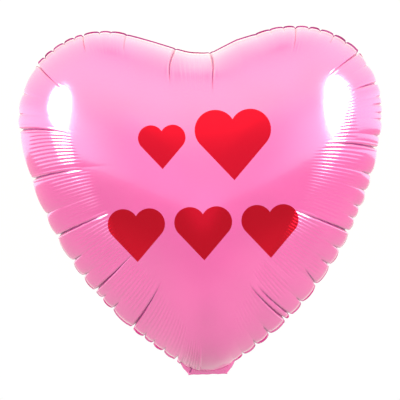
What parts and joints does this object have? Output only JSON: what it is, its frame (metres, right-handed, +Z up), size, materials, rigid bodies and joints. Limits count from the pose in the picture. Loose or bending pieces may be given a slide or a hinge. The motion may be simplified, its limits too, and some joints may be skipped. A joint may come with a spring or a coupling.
{
  "type": "heart-shaped foil balloon",
  "caption": "Inflated heart-shaped balloon of two heat-sealed foil sheets, with a flat self-sealing valve in its neck and a filling tail folded up behind.",
  "frame": {"origin": "middle of the neck where it leaves the heart, the place a ribbon is tied round", "axes": "+X to the right seen from the front, +Y to the back, +Z up from the tip to the lobes; the sealed margin lies in the plane Y = 0"},
  "size_m": [0.363, 0.1642, 0.3468],
  "materials": {
    "foil_pink": "metallised pearl film, glossy",
    "seal_edge": "heat-sealed film, glossy",
    "valve_film": "translucent film",
    "print_red": "printed ink, glossy"
  },
  "bodies": {
    "root": {"front_panel": "foil_pink", "back_panel": "foil_pink", "heat_seal_border": "seal_edge", "valve_front_film": "valve_film", "valve_back_film": "valve_film", "printed_hearts": "print_red"},
    "tail": {"tail_front_ply": "foil_pink", "tail_back_ply": "foil_pink", "tail_side_seals": "seal_edge"}
  },
  "joints": [
    {"name": "tail_fold", "type": "hinge", "parent": "root", "child": "tail", "pos_m": [0, 0.00045, -0.0105], "axis": [-1, 0, 0], "range_deg": [0, 142.17]}
  ]
}
